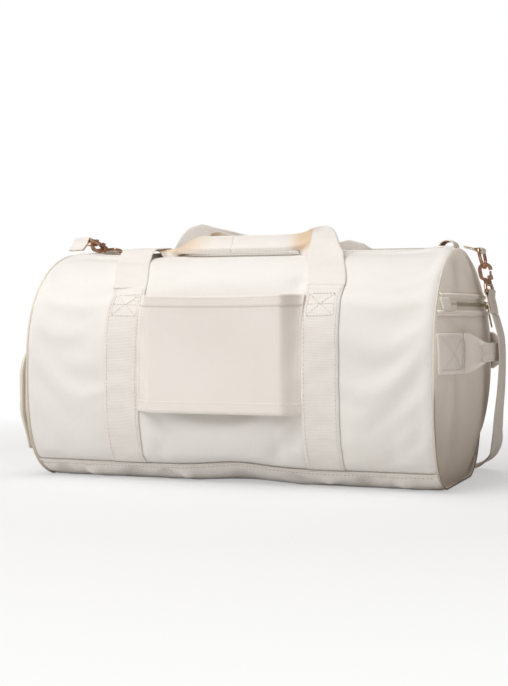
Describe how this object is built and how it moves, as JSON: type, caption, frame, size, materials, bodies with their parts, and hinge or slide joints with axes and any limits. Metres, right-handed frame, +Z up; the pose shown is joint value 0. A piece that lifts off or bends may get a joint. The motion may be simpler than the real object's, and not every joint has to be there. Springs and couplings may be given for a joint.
{
  "type": "travel duffel bag",
  "caption": "Soft barrel-shaped travel duffel with a trolley sleeve, webbing handles, end pocket, shoe compartment and clip-on shoulder strap.",
  "frame": {"origin": "middle of the flat base that the bag stands on", "axes": "+X along the bag towards the end pocket, -Y towards the trolley sleeve, +Z up"},
  "size_m": [0.5372, 0.4026, 0.2825],
  "materials": {
    "bag_fabric": "matt coated nylon weave",
    "lining_fabric": "plain thin weave",
    "stiffener": "matt",
    "sleeve_fabric": "matt coated nylon weave",
    "webbing": "ribbed webbing",
    "strap_webbing": "ribbed webbing",
    "zip_tape": "herringbone tape",
    "zip_teeth": "satin",
    "zip_metal": "satin",
    "ring_metal": "polished"
  },
  "bodies": {
    "bag": {"back_band_left": "webbing", "back_band_right": "webbing", "back_body_panel": "bag_fabric", "base_panel": "bag_fabric", "base_piping": "bag_fabric", "base_stiffener": "stiffener", "end_pocket_pouch": "lining_fabric", "front_band_left": "webbing", "front_band_right": "webbing", "front_body_panel": "bag_fabric", "grab_patches": "webbing", "grab_wings": "webbing", "left_end_panel": "bag_fabric", "left_seam_piping": "bag_fabric", "lining": "lining_fabric", "main_zip_coil": "zip_teeth", "main_zip_tape_back": "zip_tape", "main_zip_tape_front": "zip_tape", "pocket_zip_coil": "zip_teeth", "pocket_zip_cover": "bag_fabric", "pocket_zip_tape": "zip_tape", "pocket_zip_welts": "bag_fabric", "right_end_panel": "bag_fabric", "right_seam_piping": "bag_fabric", "ring_tab_left": "webbing", "ring_tab_right": "webbing", "shoe_compartment_wall": "lining_fabric", "shoe_gusset": "bag_fabric", "shoe_zip_coil": "zip_teeth", "shoe_zip_tape": "zip_tape", "strap_adjuster": "ring_metal", "strap_long": "strap_webbing", "strap_short": "strap_webbing", "tab_loop": "webbing", "trolley_sleeve": "sleeve_fabric"},
    "main_slider_right": {"main_slider_right": "zip_metal"},
    "main_pull_right": {"main_pull_right": "zip_metal"},
    "main_slider_left": {"main_slider_left": "zip_metal"},
    "main_pull_left": {"main_pull_left": "zip_metal"},
    "pocket_slider": {"pocket_slider": "zip_metal"},
    "pocket_pull": {"pocket_pull": "zip_metal"},
    "shoe_slider": {"shoe_slider": "zip_metal"},
    "shoe_pull": {"shoe_pull": "zip_metal"},
    "shoe_flap": {"shoe_flap": "bag_fabric", "shoe_flap_tape": "zip_tape"},
    "front_handle": {"front_handle": "webbing"},
    "back_handle": {"back_handle": "webbing"},
    "grab_grip": {"grab_grip": "webbing"},
    "right_ring": {"d_ring_right": "ring_metal", "hook_right": "ring_metal", "swivel_eye_right": "ring_metal", "strap_end_right": "strap_webbing"},
    "right_gate": {"hook_gate_right": "ring_metal"},
    "left_ring": {"d_ring_left": "ring_metal", "hook_left": "ring_metal", "swivel_eye_left": "ring_metal", "strap_end_left": "strap_webbing"},
    "left_gate": {"hook_gate_left": "ring_metal"}
  },
  "joints": [
    {"name": "right_slider_run", "type": "slide", "parent": "bag", "child": "main_slider_right", "axis": [1, 0, 0], "range_m": [0, 0.175]},
    {"name": "right_pull_lift", "type": "hinge", "parent": "main_slider_right", "child": "main_pull_right", "pos_m": [0.009, 0, 0.26], "axis": [0, -1, 0], "range_deg": [0, 150]},
    {"name": "left_slider_run", "type": "slide", "parent": "bag", "child": "main_slider_left", "axis": [-1, 0, 0], "range_m": [0, 0.175]},
    {"name": "left_pull_lift", "type": "hinge", "parent": "main_slider_left", "child": "main_pull_left", "pos_m": [-0.009, 0, 0.26], "axis": [0, 1, 0], "range_deg": [0, 150]},
    {"name": "pocket_slider_run", "type": "hinge", "parent": "bag", "child": "pocket_slider", "pos_m": [-0.038, 0, 0.194], "axis": [0, 0, 1], "range_deg": [-27, 0]},
    {"name": "pocket_pull_lift", "type": "hinge", "parent": "pocket_slider", "child": "pocket_pull", "pos_m": [0.24911, 0.07519, 0.195], "axis": [0.2533, -0.9674, 0], "range_deg": [0, 120]},
    {"name": "shoe_slider_run", "type": "slide", "parent": "bag", "child": "shoe_slider", "axis": [0, -1, 0], "range_m": [0, 0.115]},
    {"name": "shoe_pull_lift", "type": "hinge", "parent": "shoe_slider", "child": "shoe_pull", "pos_m": [-0.2447, 0.058, 0.1529], "axis": [-1, 0, 0], "range_deg": [0, 170]},
    {"name": "shoe_flap_fold", "type": "hinge", "parent": "bag", "child": "shoe_flap", "pos_m": [-0.2525, 0, 0.033], "axis": [0, -1, 0], "range_deg": [0, 85]},
    {"name": "front_handle_swing", "type": "hinge", "parent": "bag", "child": "front_handle", "pos_m": [0, -0.0967, 0.21874], "axis": [1, 0, 0], "range_deg": [0, 125]},
    {"name": "back_handle_swing", "type": "hinge", "parent": "bag", "child": "back_handle", "pos_m": [0, 0.0967, 0.21874], "axis": [-1, 0, 0], "range_deg": [0, 125]},
    {"name": "grab_grip_flex", "type": "hinge", "parent": "bag", "child": "grab_grip", "pos_m": [0.2656, 0, 0.144], "axis": [0, 1, 0], "range_deg": [-15, 15], "stiffness_Nm_per_rad": 0.05},
    {"name": "right_ring_swing", "type": "hinge", "parent": "bag", "child": "right_ring", "pos_m": [0.256, 0, 0.253], "axis": [0, -1, 0], "range_deg": [0, 40], "deforming": ["strap_long"]},
    {"name": "right_gate_press", "type": "hinge", "parent": "right_ring", "child": "right_gate", "pos_m": [0.26629, 0, 0.22504], "axis": [0, -1, 0], "range_deg": [0, 18], "stiffness_Nm_per_rad": 0.02, "springref_deg": -11.46},
    {"name": "left_ring_swing", "type": "hinge", "parent": "bag", "child": "left_ring", "pos_m": [-0.226, -0.002, 0.2745], "axis": [0.932, -0.3624, 0], "range_deg": [0, 40], "deforming": ["strap_short"]},
    {"name": "left_gate_press", "type": "hinge", "parent": "left_ring", "child": "left_gate", "pos_m": [-0.21528, 0.02557, 0.27089], "axis": [0.932, -0.3624, 0], "range_deg": [0, 18], "stiffness_Nm_per_rad": 0.02, "springref_deg": -11.46}
  ]
}
